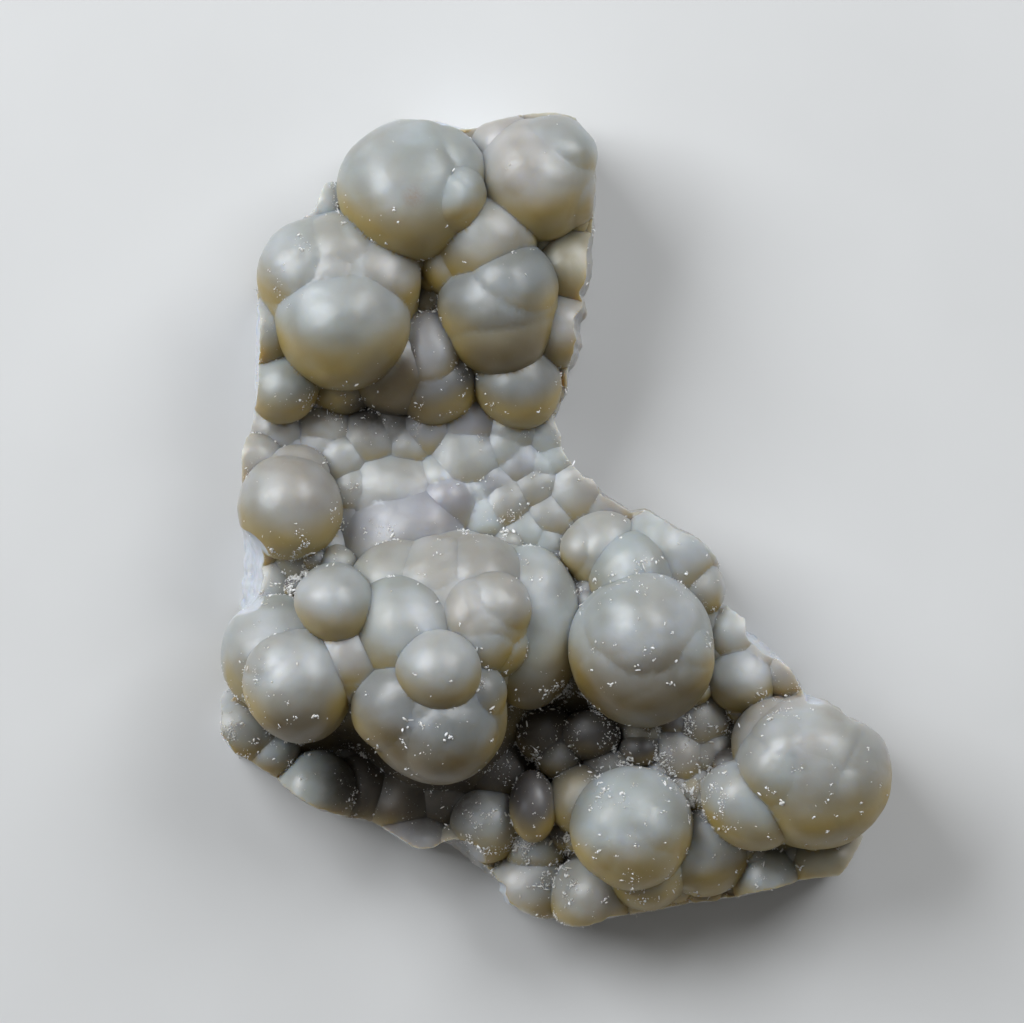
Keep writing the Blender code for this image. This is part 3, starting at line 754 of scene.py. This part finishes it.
def stone_mesh():
    verts, faces, fields = contour()
    verts, faces, _ = largest_part(verts, faces)
    xs, ys, zs, U, U2, ID, R, rows, tint = fields
    # outward normals of the piece as contoured
    a, b, c, d = (verts[faces[:, i]] for i in range(4))
    fn = np.cross(c - a, d - b)
    vn = np.zeros(verts.shape)
    for i in range(4):
        for ax in range(3):
            vn[:, ax] += np.bincount(faces[:, i], fn[:, ax], len(verts))
    vn /= np.linalg.norm(vn, axis=1, keepdims=True) + 1e-9

    u = trilinear(U, xs, ys, zs, verts)
    gap = trilinear(U2, xs, ys, zs, verts) - u
    r = trilinear(R, xs, ys, zs, verts)
    i = np.rint((verts - [xs[0], ys[0], zs[0]]) / CELL).astype(int)
    owner = ID[tuple(i.T)]
    hue = np.where((owner >= 0)[:, None], tint[np.maximum(owner, 0)], [TINTS["a"]])
    for _ in range(5):
        total, many = np.zeros(hue.shape), np.zeros(len(verts))
        mean = hue[faces].mean(axis=1)
        for k in range(4):
            many += np.bincount(faces[:, k], minlength=len(verts))
            for c in range(3):
                total[:, c] += np.bincount(faces[:, k], mean[:, c], len(verts))
        hue = total / many[:, None]
    own = rows[np.maximum(owner, 0)]
    down = np.clip((own[:, 2] - verts[:, 2]) / (own[:, 3] * own[:, 4]), 0, 1)
    turn = np.linalg.norm(slope_of(U2 - U, xs, ys, zs, verts), axis=1)
    crease = np.exp(-np.clip(gap, 0, 60) / np.maximum(turn, 0.15) / 4.0) * smooth_step((turn - 0.15) / 0.95)
    broken = smooth_step((r - u) / 3.0) * (r > -4)
    broken = np.maximum(broken, (verts[:, 2] < 1.0) * 1.0)
    F = np.maximum(U, R)
    wide = look_up(blurred_top(F, xs, ys, zs, 26.0), xs, ys, verts) - verts[:, 2]
    near = look_up(blurred_top(F, xs, ys, zs, 9.0), xs, ys, verts) - verts[:, 2]
    gx, gy = np.meshgrid(xs, ys, indexing="ij")
    edge = look_up(outline_distance(gx, gy), xs, ys, verts)
    # painted shade: a mask that rises where the surface lies well below its surroundings
    painted_hollow_shade = smooth_step((wide + 0.5 * near - 30.0) / 58.0) * smooth_step((-edge - 4.0) / 14.0)
    pale = np.zeros(len(verts))
    for x, y, reach in PALE_RIM:
        px, py = place(x, y, RIM_LEVEL)
        pale = np.maximum(pale, smooth_step(1.6 - np.hypot(verts[:, 0] - px, verts[:, 1] - py) / reach))
    hollow = np.zeros(len(verts))
    for x, y, reach in RECESSES:
        px, py = place(x, y, RIM_LEVEL)
        hollow = np.maximum(hollow, smooth_step(1.5 - np.hypot(verts[:, 0] - px, verts[:, 1] - py) / reach))
    painted_hollow_shade = np.maximum(painted_hollow_shade, hollow * smooth_step((122.0 - verts[:, 2]) / 30.0) * 1.0)
    # painted shade: spots where the amber of the shaded sides turns dark brown
    painted_dark_side = np.zeros(len(verts))
    for x, y, reach in PAINTED_SHADOW_SPOTS:
        px, py = place(x, y, 150.0)
        painted_dark_side = np.maximum(painted_dark_side, smooth_step(1.5 - np.hypot(verts[:, 0] - px, verts[:, 1] - py) / reach))
    rim = smooth_step((edge + 6.0) / 6.0) * (0.25 + 0.75 * pale)
    # painted shade: a mask of the sides that face away from the studio lights, coloured amber in the material
    lit = vn @ np.array([-0.04, 0.66, 0.75])
    painted_shade_side = smooth_step((0.76 - lit) / 0.72) * (1 - broken) * smooth_step((2.0 - edge) / 8.0)
    painted_shade_side *= smooth_step((0.42 - vn[:, 1]) / 0.74)
    depth = np.clip(-u, 0, 200)
    cloud = np.clip(0.5 + 0.13 * Waves(41, 20, 75)(verts[:, 0], verts[:, 1], verts[:, 2]), 0, 1)
    haze = np.clip(0.5 + 0.12 * Waves(43, 70, 190)(verts[:, 0], verts[:, 1], verts[:, 2]), 0, 1)

    # no natural knob is a true ball: it swells and dips a little
    low = np.clip(verts[:, 2] / 20.0, 0, 1)
    swell = [Waves(21, 60, 170), Waves(22, 60, 170), Waves(23, 45, 150)]
    shift = np.stack([w(verts[:, 0], verts[:, 1], verts[:, 2]) for w in swell], axis=1)
    bumps = Waves(24, 16, 60)(verts[:, 0], verts[:, 1], verts[:, 2]) * 0.16
    chips = Waves(25, 7, 22)(verts[:, 0], verts[:, 1], verts[:, 2]) * 0.45
    verts = verts + shift * [1.1, 1.1, 1.3] * low[:, None]
    verts = verts + vn * ((bumps * (1 - broken) + chips * broken * 0.6) * low)[:, None]
    verts[:, 2] = np.maximum(verts[:, 2], 0)

    mesh = bpy.data.meshes.new("chalcedony_crust")
    mesh.vertices.add(len(verts))
    mesh.vertices.foreach_set("co", (verts * UNIT).astype(np.float32).ravel())
    mesh.loops.add(faces.size)
    mesh.loops.foreach_set("vertex_index", faces.astype(np.int32).ravel())
    mesh.polygons.add(len(faces))
    mesh.polygons.foreach_set("loop_start", np.arange(0, faces.size, 4, dtype=np.int32))
    mesh.update(calc_edges=True)
    mesh.validate()
    colour = mesh.attributes.new("hue", 'FLOAT_COLOR', 'POINT')
    colour.data.foreach_set("color", np.c_[hue, np.ones(len(hue))].astype(np.float32).ravel())
    for name, values in (("rim", rim), ("pale", pale), ("painted_dark_side", painted_dark_side), ("crease", crease), ("painted_hollow_shade", painted_hollow_shade), ("painted_shade_side", painted_shade_side), ("down", down),
                         ("broken", broken), ("depth", depth * UNIT), ("cloud", cloud), ("haze", haze)):
        at = mesh.attributes.new(name, 'FLOAT', 'POINT')
        at.data.foreach_set("value", values.astype(np.float32))
    return mesh


def tidy(mesh):
    """Opens the few edges that more than two faces share and closes what is left."""
    bm = bmesh.new()
    bm.from_mesh(mesh)
    for _ in range(4):
        bad = [e for e in bm.edges if len(e.link_faces) > 2]
        if not bad:
            break
        near = {f for e in bad for v in e.verts for f in v.link_faces}
        bmesh.ops.delete(bm, geom=list(near), context='FACES')
        edge = [e for e in bm.edges if e.is_boundary]
        bmesh.ops.holes_fill(bm, edges=edge, sides=0)
    loose = [v for v in bm.verts if not v.link_faces]
    bmesh.ops.delete(bm, geom=loose, context='VERTS')
    bmesh.ops.triangulate(bm, faces=[f for f in bm.faces if len(f.verts) > 4])
    for v in bm.verts:
        if v.co.z < 2e-6:
            v.co.z = 0.0
    bmesh.ops.recalc_face_normals(bm, faces=bm.faces)
    bm.to_mesh(mesh)
    bm.free()


def main_stone():
    mesh = stone_mesh()
    ob = bpy.data.objects.new("chalcedony_crust", mesh)
    bpy.context.scene.collection.objects.link(ob)
    total = len(mesh.polygons) * 2
    if total > 190000:
        dec = ob.modifiers.new("fewer", 'DECIMATE')
        dec.ratio = 190000 / total
        bpy.context.view_layer.update()
        ready = ob.evaluated_get(bpy.context.evaluated_depsgraph_get())
        new = bpy.data.meshes.new_from_object(ready)
        ob.modifiers.clear()
        ob.data = new
        bpy.data.meshes.remove(mesh)
        new.name = "chalcedony_crust"
    tidy(ob.data)
    ob.data.shade_smooth()
    ob.data.set_sharp_from_angle(angle=radians(26))
    return ob


# ------------------------------------------------------------------- grains
def crystal(rng, kind):
    """Corners and triangles of one small irregular grain about one unit long."""
    if kind == 0:
        v = np.array([(1, 0, 0), (-1, 0, 0), (0, 1, 0), (0, -1, 0), (0, 0, 1), (0, 0, -1)], float) * 0.5
        f = [(0, 2, 4), (2, 1, 4), (1, 3, 4), (3, 0, 4), (2, 0, 5), (1, 2, 5), (3, 1, 5), (0, 3, 5)]
        v = v * rng.uniform(0.75, 1.25, v.shape) + rng.uniform(-0.08, 0.08, v.shape)
    else:
        n = 6
        a = np.arange(n) * 2 * pi / n + rng.uniform(-0.2, 0.2, n)
        w = 0.32
        h = rng.uniform(0.12, 0.3)
        ring = np.stack([np.cos(a) * w, np.sin(a) * w], axis=1) * rng.uniform(0.8, 1.2, (n, 1))
        low = np.c_[ring, np.full(n, -h) + rng.uniform(-0.04, 0.04, n)]
        high = np.c_[ring * rng.uniform(0.85, 1.0), np.full(n, h) + rng.uniform(-0.05, 0.05, n)]
        tip = [(rng.uniform(-0.08, 0.08), rng.uniform(-0.08, 0.08), -0.5), (rng.uniform(-0.08, 0.08), rng.uniform(-0.08, 0.08), 0.5)]
        v = np.vstack([low, high, tip])
        f = []
        for i in range(n):
            j = (i + 1) % n
            f += [(i, j, n + j), (i, n + j, n + i), (j, i, 2 * n), (n + i, n + j, 2 * n + 1)]
    return v, np.array(f)


def turned(rng, axis=None, way=None):
    if axis is None:
        q = rng.normal(size=4)
        q /= np.linalg.norm(q)
        w, x, y, z = q
        return np.array([[1 - 2 * (y * y + z * z), 2 * (x * y - z * w), 2 * (x * z + y * w)],
                         [2 * (x * y + z * w), 1 - 2 * (x * x + z * z), 2 * (y * z - x * w)],
                         [2 * (x * z - y * w), 2 * (y * z + x * w), 1 - 2 * (x * x + y * y)]])
    long_way = way - axis * (way @ axis)
    long_way /= np.linalg.norm(long_way) + 1e-9
    side = np.cross(axis, long_way)
    return np.stack([side, axis, long_way], axis=1)


def druse(stone):
    """Quartz grains that grew on the crust, as one mesh."""
    rng = np.random.default_rng(77)
    mesh = stone.data
    n = len(mesh.vertices)
    co = np.zeros(n * 3)
    mesh.vertices.foreach_get("co", co)
    co = co.reshape(-1, 3)
    no = np.zeros(n * 3)
    mesh.vertex_normals.foreach_get("vector", no)
    no = no.reshape(-1, 3)

    def attribute(name):
        a = np.zeros(n, np.float32)
        mesh.attributes[name].data.foreach_get("value", a)
        return a.astype(float)
    crease, painted_hollow_shade, broken = attribute("crease"), attribute("painted_hollow_shade"), attribute("broken")
    tree = BVHTree.FromPolygons([tuple(c) for c in co], [tuple(p.vertices) for p in mesh.polygons])

    all_v, all_f, tone = [], [], []
    count = 0

    def add(v, f, t):
        nonlocal count
        all_v.append(v)
        all_f.append(f + count)
        tone.append(np.full(len(v), t))
        count += len(v)

    eye = Vector(((AXIS[0] - SHEET[0]) * UNIT, (SHEET[1] - AXIS[1]) * UNIT, (RIM_LEVEL + VIEW_DISTANCE) * UNIT))
    for x, y, length, width, way in GRAINS:
        aim = Vector((*[c * UNIT for c in place(x, y, RIM_LEVEL)], RIM_LEVEL * UNIT))
        hit, normal, _, _ = tree.ray_cast(eye, (aim - eye).normalized())
        if hit is None:
            continue
        v, f = crystal(rng, 1)
        up = np.array(normal) + rng.normal(size=3) * 0.12
        up /= np.linalg.norm(up)
        along = np.array([cos(radians(way)), sin(radians(way)), 0.0]) if way or width * 1.5 < length else rng.normal(size=3)
        size = np.array([width * 0.95, width * 0.7, length * 0.8]) * UNIT * rng.uniform(0.75, 1.1)
        v = (v * size) @ turned(rng, up, along).T + np.array(hit) + up * 0.10 * width * UNIT
        add(v, f, rng.uniform(0.5, 1.0))
        for _ in range(rng.integers(2, 6)):
            off = rng.normal(size=3) * length * 0.42
            off = off - up * (off @ up)
            v, f = crystal(rng, 1)
            s = length * rng.uniform(0.22, 0.55)
            v = (v * np.array([s * 0.9, s * 0.8, s * 1.3]) * UNIT) @ turned(rng).T + np.array(hit) + off * UNIT + up * 0.05 * s * UNIT
            add(v, f, rng.uniform(0.3, 0.9))

    # small ones lie thickest in the creases and in drifts
    sheet = np.stack([(co[:, 0] / UNIT + SHEET[0]), SHEET[1] - co[:, 1] / UNIT], axis=1)
    weight = 0.010 + 1.5 * crease ** 2 + 0.05 * painted_hollow_shade
    for x, y, reach, many in DRIFTS:
        px, py = place(x, y, RIM_LEVEL)
        d = np.hypot(co[:, 0] / UNIT - px, co[:, 1] / UNIT - py) / reach
        weight += many * np.exp(-d ** 2 * 1.6) * (0.16 + 1.2 * crease)
    patchy = Waves(31, 60, 220)(co[:, 0] / UNIT, co[:, 1] / UNIT, co[:, 2] / UNIT)
    clumps = Waves(32, 9, 40)(co[:, 0] / UNIT, co[:, 1] / UNIT, co[:, 2] / UNIT)
    weight *= np.clip(0.75 + 0.5 * patchy, 0.1, 2) * (0.03 + smooth_step((clumps - 0.15) / 1.3) ** 2.0)
    weight *= np.clip(no[:, 2] * 2.0 + 0.7, 0, 1) * (1 - 0.8 * broken) * (co[:, 2] > 3e-3)
    weight /= weight.sum()
    picks = rng.choice(n, size=9400, p=weight)
    for i in picks:
        s = np.exp(rng.normal(np.log(1.0), 0.55))
        s = min(s, 4.2)
        kind = 0 if s < 2.2 else 1
        v, f = crystal(rng, kind)
        at = co[i] + rng.normal(size=3) * 0.8 * UNIT
        at = at - no[i] * ((at - co[i]) @ no[i])
        v = (v * rng.uniform([0.6, 0.4, 1.0], [1.3, 0.9, 2.6]) * s * UNIT) @ turned(rng).T + at + no[i] * 0.2 * s * UNIT
        add(v, f, rng.uniform(0.35, 1.0))
    v = np.concatenate(all_v)
    f = np.concatenate(all_f)
    me = bpy.data.meshes.new("quartz_grains")
    me.vertices.add(len(v))
    me.vertices.foreach_set("co", v.astype(np.float32).ravel())
    me.loops.add(f.size)
    me.loops.foreach_set("vertex_index", f.astype(np.int32).ravel())
    me.polygons.add(len(f))
    me.polygons.foreach_set("loop_start", np.arange(0, f.size, 3, dtype=np.int32))
    me.update(calc_edges=True)
    me.validate()
    at = me.attributes.new("tone", 'FLOAT', 'POINT')
    at.data.foreach_set("value", np.concatenate(tone).astype(np.float32))
    ob = bpy.data.objects.new("quartz_grains", me)
    bpy.context.scene.collection.objects.link(ob)
    return ob


# ---------------------------------------------------------------- materials
class Graph:
    def __init__(self, name):
        self.mat = bpy.data.materials.new(name)
        self.mat.use_nodes = True
        self.t = self.mat.node_tree
        self.t.nodes.clear()
        self.out = self.t.nodes.new("ShaderNodeOutputMaterial")
        self.bsdf = self.t.nodes.new("ShaderNodeBsdfPrincipled")
        self.t.links.new(self.bsdf.outputs[0], self.out.inputs[0])
        self.place = self.t.nodes.new("ShaderNodeTexCoord").outputs["Object"]

    def set(self, socket, value):
        if isinstance(value, bpy.types.NodeSocket):
            self.t.links.new(value, socket)
        elif isinstance(value, (tuple, list)) and len(value) == 3 and socket.type == 'RGBA':
            socket.default_value = (*value, 1.0)
        else:
            socket.default_value = value

    def attr(self, name, output="Fac"):
        n = self.t.nodes.new("ShaderNodeAttribute")
        n.attribute_name = name
        return n.outputs[output]

    def noise(self, size, detail=2.0, rough=0.5, where=None, skew=0.0):
        """Noise whose features are about size metres."""
        n = self.t.nodes.new("ShaderNodeTexNoise")
        self.set(n.inputs["Vector"], where or self.place)
        n.inputs["Scale"].default_value = 1.0 / size
        n.inputs["Detail"].default_value = detail
        n.inputs["Roughness"].default_value = rough
        n.inputs["Distortion"].default_value = skew
        return n.outputs["Fac"]

    def dots(self, size):
        n = self.t.nodes.new("ShaderNodeTexVoronoi")
        self.set(n.inputs["Vector"], self.place)
        n.inputs["Scale"].default_value = 1.0 / size
        return n.outputs["Distance"], n.outputs["Color"]

    def math(self, op, a, b=0.0, c=0.0, clamp=False):
        n = self.t.nodes.new("ShaderNodeMath")
        n.operation = op
        n.use_clamp = clamp
        for i, v in enumerate((a, b, c)):
            self.set(n.inputs[i], v)
        return n.outputs[0]

    def span(self, v, a, b, c=0.0, d=1.0, smooth=False):
        n = self.t.nodes.new("ShaderNodeMapRange")
        n.interpolation_type = 'SMOOTHSTEP' if smooth else 'LINEAR'
        for i, x in enumerate((v, a, b, c, d)):
            self.set(n.inputs[i], x)
        return n.outputs[0]

    def ramp(self, v, stops, step='LINEAR'):
        n = self.t.nodes.new("ShaderNodeValToRGB")
        n.color_ramp.interpolation = step
        e = n.color_ramp.elements
        while len(e) < len(stops):
            e.new(0.5)
        for el, (pos, col) in zip(e, stops):
            el.position = pos
            el.color = (*col, 1.0)
        self.set(n.inputs[0], v)
        return n.outputs[0]

    def mix(self, f, a, b, how='MIX'):
        n = self.t.nodes.new("ShaderNodeMix")
        n.data_type = 'RGBA'
        n.blend_type = how
        self.set(n.inputs[0], f)
        self.set(n.inputs[6], a)
        self.set(n.inputs[7], b)
        return n.outputs[2]

    def spot(self, centre, reach):
        """1 at a place on the piece, falling to 0 at reach."""
        n = self.t.nodes.new("ShaderNodeVectorMath")
        n.operation = 'DISTANCE'
        self.set(n.inputs[0], self.place)
        n.inputs[1].default_value = centre
        return self.span(n.outputs["Value"], reach, reach * 0.25, smooth=True)

    def bump(self, height, distance, strength=1.0, after=None):
        n = self.t.nodes.new("ShaderNodeBump")
        n.inputs["Strength"].default_value = strength
        n.inputs["Distance"].default_value = distance
        self.set(n.inputs["Height"], height)
        if after is not None:
            self.set(n.inputs["Normal"], after)
        return n.outputs[0]


def stone_material():
    g = Graph("chalcedony")
    crease, painted_hollow_shade, rim = g.attr("crease"), g.attr("painted_hollow_shade"), g.attr("rim")
    painted_shade_side, broken, depth, down = g.attr("painted_shade_side"), g.attr("broken"), g.attr("depth"), g.attr("down")
    cloud = g.attr("cloud")
    mottle = g.noise(0.0011, 2.0, 0.6)
    grain = g.noise(0.00022, 2.0, 0.6)
    base = g.attr("hue", "Color")
    base = g.mix(g.span(cloud, 0.35, 0.70), g.mix(1.0, base, (0.95, 0.94, 0.90), 'MULTIPLY'), g.mix(1.0, base, (1.20, 1.23, 1.27), 'MULTIPLY'))
    base = g.mix(g.span(g.attr("haze"), 0.38, 0.62), base, g.mix(1.0, base, (0.90, 0.94, 0.93), 'MULTIPLY'))
    base = g.mix(g.span(mottle, 0.40, 0.75, 0.0, 0.22), base, g.mix(1.0, base, (0.92, 0.88, 0.82), 'MULTIPLY'))
    # painted shade: amber on the sides turned away from the lights, standing in for light seen through the stone, and
    # darker brown at the dark-side spots
    tint = g.math('MULTIPLY', painted_shade_side, g.span(cloud, 0.30, 0.65, 0.75, 1.0))
    amber = g.mix(g.attr("painted_dark_side"), (0.330, 0.243, 0.064), (0.140, 0.094, 0.020))
    base = g.mix(g.math('MULTIPLY', tint, 1.05, clamp=True), base, amber)
    # painted shade: near-black brown in the hollows
    base = g.mix(g.math('MULTIPLY', painted_hollow_shade, g.span(mottle, 0.3, 0.7, 0.80, 1.0)), base, (0.030, 0.021, 0.011))
    # painted shade: darker brown along the creases between knobs
    painted_crease_shade = g.math('MULTIPLY', g.math('POWER', crease, 2.0), g.span(mottle, 0.30, 0.62, 0.1, 0.5))
    base = g.mix(painted_crease_shade, base, (0.20, 0.165, 0.125))
    # fine pale dust, thickest in the creases
    d, _ = g.dots(0.00034)
    dust = g.math('LESS_THAN', d, g.span(g.math('ADD', crease, g.math('MULTIPLY', painted_hollow_shade, 0.4)), 0.0, 1.2, 0.045, 0.26))
    dust = g.math('MULTIPLY', dust, g.span(mottle, 0.40, 0.60, 0.0, 0.8))
    base = g.mix(dust, base, (0.72, 0.71, 0.68))
    base = g.mix(g.math('MULTIPLY', rim, g.span(mottle, 0.35, 0.6, 0.35, 0.8)), base, (0.60, 0.62, 0.64))
    # iron spots
    for x, y, z, reach, much in IRON:
        px, py = place(x, y, z)
        f = g.math('MULTIPLY', g.spot((px * UNIT, py * UNIT, z * UNIT), reach * UNIT), g.span(grain, 0.35, 0.6, 0.3 * much, much))
        base = g.mix(f, base, (0.28, 0.115, 0.035))
    # growth bands where the crust is broken through
    wave = g.math('ADD', g.math('MULTIPLY', depth, 9000.0), g.math('MULTIPLY', cloud, 5.0))
    band = g.math('MULTIPLY_ADD', g.math('SINE', wave), 0.5, 0.5)
    fine = g.math('MULTIPLY_ADD', g.math('SINE', g.math('MULTIPLY', wave, 4.3)), 0.5, 0.5)
    inner = g.ramp(g.math('MULTIPLY_ADD', fine, 0.3, g.math('MULTIPLY', band, 0.7)),
                   [(0.0, (0.49, 0.52, 0.56)), (0.45, (0.53, 0.56, 0.61)), (1.0, (0.57, 0.60, 0.65))])
    inner = g.mix(g.span(mottle, 0.55, 0.8, 0.0, 0.3), inner, (0.46, 0.41, 0.33))
    inner = g.mix(g.attr("pale"), g.mix(0.75, inner, (0.30, 0.285, 0.26)), inner)
    base = g.mix(broken, base, inner)
    g.set(g.bsdf.inputs["Base Color"], base)

    rough = g.span(mottle, 0.3, 0.7, 0.42, 0.50)
    rough = g.math('ADD', rough, g.math('MULTIPLY', crease, 0.15))
    rough = g.math('ADD', rough, g.math('MULTIPLY', painted_hollow_shade, 0.22))
    rough = g.math('ADD', rough, g.math('MULTIPLY', broken, 0.12), clamp=True)
    g.set(g.bsdf.inputs["Roughness"], rough)
    g.bsdf.inputs["IOR"].default_value = 1.54
    g.bsdf.inputs["Specular IOR Level"].default_value = 1.0
    g.bsdf.inputs["Subsurface Weight"].default_value = 1.0
    g.bsdf.inputs["Subsurface Radius"].default_value = (1.0, 0.72, 0.42)
    g.bsdf.inputs["Subsurface Scale"].default_value = 0.0030
    # small low domes with fine seams between them, fading in and out
    near_2, _ = g.dots(0.0030)
    near_1, _ = g.dots(0.0013)
    there = g.span(cloud, 0.40, 0.62, 0.15, 1.0)
    domes = g.math('MULTIPLY_ADD', near_2, near_2, g.math('MULTIPLY', g.math('MULTIPLY', near_1, near_1), 0.37))
    height = g.math('SUBTRACT', g.math('MULTIPLY', g.noise(0.0009, 2.0, 0.5), 0.2), g.math('MULTIPLY', domes, there))
    b = g.bump(height, 0.00006, 1.0)
    g.set(g.bsdf.inputs["Normal"], b)
    return g.mat


def grain_material():
    g = Graph("quartz")
    tone = g.attr("tone")
    n = g.noise(0.00012, 2.0, 0.5)
    col = g.ramp(tone, [(0.0, (0.50, 0.45, 0.36)), (0.45, (0.72, 0.70, 0.66)), (1.0, (0.92, 0.93, 0.95))])
    col = g.mix(g.span(n, 0.4, 0.7, 0.0, 0.3), col, g.mix(1.0, col, (0.86, 0.84, 0.80), 'MULTIPLY'))
    g.set(g.bsdf.inputs["Base Color"], col)
    g.set(g.bsdf.inputs["Roughness"], g.span(n, 0.3, 0.7, 0.22, 0.42))
    g.bsdf.inputs["IOR"].default_value = 1.54
    g.bsdf.inputs["Subsurface Weight"].default_value = 0.3
    g.bsdf.inputs["Subsurface Radius"].default_value = (1.0, 1.0, 1.0)
    g.bsdf.inputs["Subsurface Scale"].default_value = 0.0002
    return g.mat


def floor_material():
    g = Graph("paper")
    n = g.noise(0.03, 3.0, 0.5)
    g.set(g.bsdf.inputs["Base Color"], g.ramp(n, [(0.3, (0.62, 0.62, 0.615)), (0.7, (0.65, 0.65, 0.645))]))
    g.bsdf.inputs["Roughness"].default_value = 0.9
    g.bsdf.inputs["Specular IOR Level"].default_value = 0.2
    return g.mat


# Iron spots on the sheet: x, y, height, reach, how strong.
IRON = [(572,845,100,9,0.8), (673,575,128,9,0.6), (778,697,100,8,0.6), (562,704,110,12,0.4), (413,196,195,16,0.35)]


def area(name, at, aim, w, h, power, colour):
    data = bpy.data.lights.new(name, 'AREA')
    data.shape = 'RECTANGLE'
    data.size, data.size_y = w, h
    data.energy = power
    data.color = colour
    ob = bpy.data.objects.new(name, data)
    ob.location = at
    ob.rotation_mode = 'QUATERNION'
    ob.rotation_quaternion = (Vector(aim) - Vector(at)).to_track_quat('-Z', 'Y')
    bpy.context.scene.collection.objects.link(ob)
    return ob


def studio():
    scene = bpy.context.scene
    me = bpy.data.meshes.new("floor")
    s = 1.6
    me.from_pydata([(-s, -s, 0), (s, -s, 0), (s, s, 0), (-s, s, 0)], [], [(0, 1, 2, 3)])
    floor = bpy.data.objects.new("floor", me)
    floor.data.materials.append(floor_material())
    scene.collection.objects.link(floor)

    area("key_left", (-0.40, 0.29, 0.40), (0, 0, 0.01), 0.44, 0.36, 4.0, (0.935, 0.965, 1.0))
    area("key_right", (0.31, 0.36, 0.42), (0, 0, 0.01), 0.38, 0.30, 2.4, (0.94, 0.968, 1.0))
    area("fill_front", (0.02, -0.50, 0.55), (0, 0, 0.01), 0.60, 0.40, 0.08, (1.0, 0.95, 0.86))
    world = bpy.data.worlds.new("studio")
    world.use_nodes = True
    world.node_tree.nodes["Background"].inputs[0].default_value = (0.97, 0.96, 0.93, 1.0)
    world.node_tree.nodes["Background"].inputs[1].default_value = 0.145
    scene.world = world

    cam = bpy.data.cameras.new("camera")
    cam.sensor_width = 36.0
    cam.lens = 36.0 * 600.0 / 102.4
    cam.clip_start, cam.clip_end = 0.01, 10.0
    ob = bpy.data.objects.new("camera", cam)
    ob.location = ((AXIS[0] - SHEET[0]) * UNIT, (SHEET[1] - AXIS[1]) * UNIT, (RIM_LEVEL + VIEW_DISTANCE) * UNIT)
    ob.rotation_euler = (0, 0, 0)
    scene.collection.objects.link(ob)
    scene.camera = ob
    scene.view_settings.view_transform = 'Standard'
    scene.view_settings.look = 'None'
    scene.view_settings.exposure = 0.0


stone = main_stone()
stone.data.materials.clear()
stone.data.materials.append(stone_material())
grains = druse(stone)
grains.data.materials.append(grain_material())
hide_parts("chalcedony")
for piece in (stone, grains):
    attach(piece, "root")
studio()

print("stone", len(stone.data.polygons), "grains", len(grains.data.polygons))
